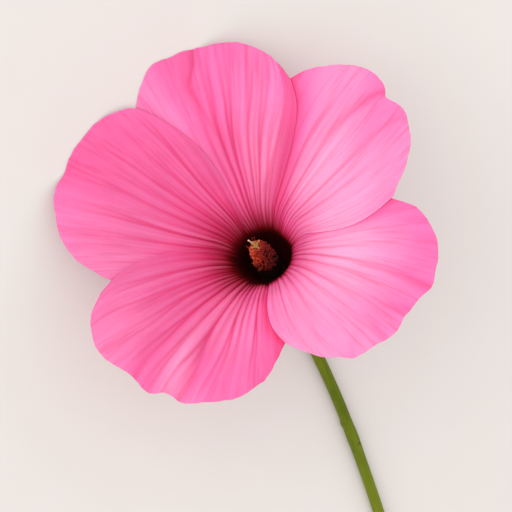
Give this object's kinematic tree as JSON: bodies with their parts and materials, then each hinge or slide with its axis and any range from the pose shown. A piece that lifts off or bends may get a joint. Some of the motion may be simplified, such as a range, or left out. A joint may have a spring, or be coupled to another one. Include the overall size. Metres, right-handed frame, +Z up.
{
  "type": "cut rose mallow flower",
  "caption": "Single cut rose mallow bloom with overlapping pink petals, a dark throat and a stamen column, lying on its rim and its bent green stem.",
  "frame": {"origin": "on the surface that the flower lies on, at the centre of its box seen from above", "axes": "+Z up from the surface; the cut end of the stem lies towards -Y and the bloom leans over towards +Y and -X"},
  "size_m": [0.1698, 0.2566, 0.1061],
  "materials": {
    "petal": "soft matte petal tissue with fine veins",
    "calyx": "downy green sepal",
    "epicalyx": "downy green bract",
    "column": "dark red tube with grainy anthers",
    "pistil": "pale waxy style and stigmas",
    "stem": "satin olive green"
  },
  "bodies": {
    "root": {"petal_left": "petal", "petal_top": "petal", "petal_upper_right": "petal", "petal_lower_right": "petal", "petal_lower_left": "petal", "calyx": "calyx", "epicalyx": "epicalyx", "staminal_column": "column", "pistil": "pistil", "stem": "stem"}
  },
  "joints": []
}
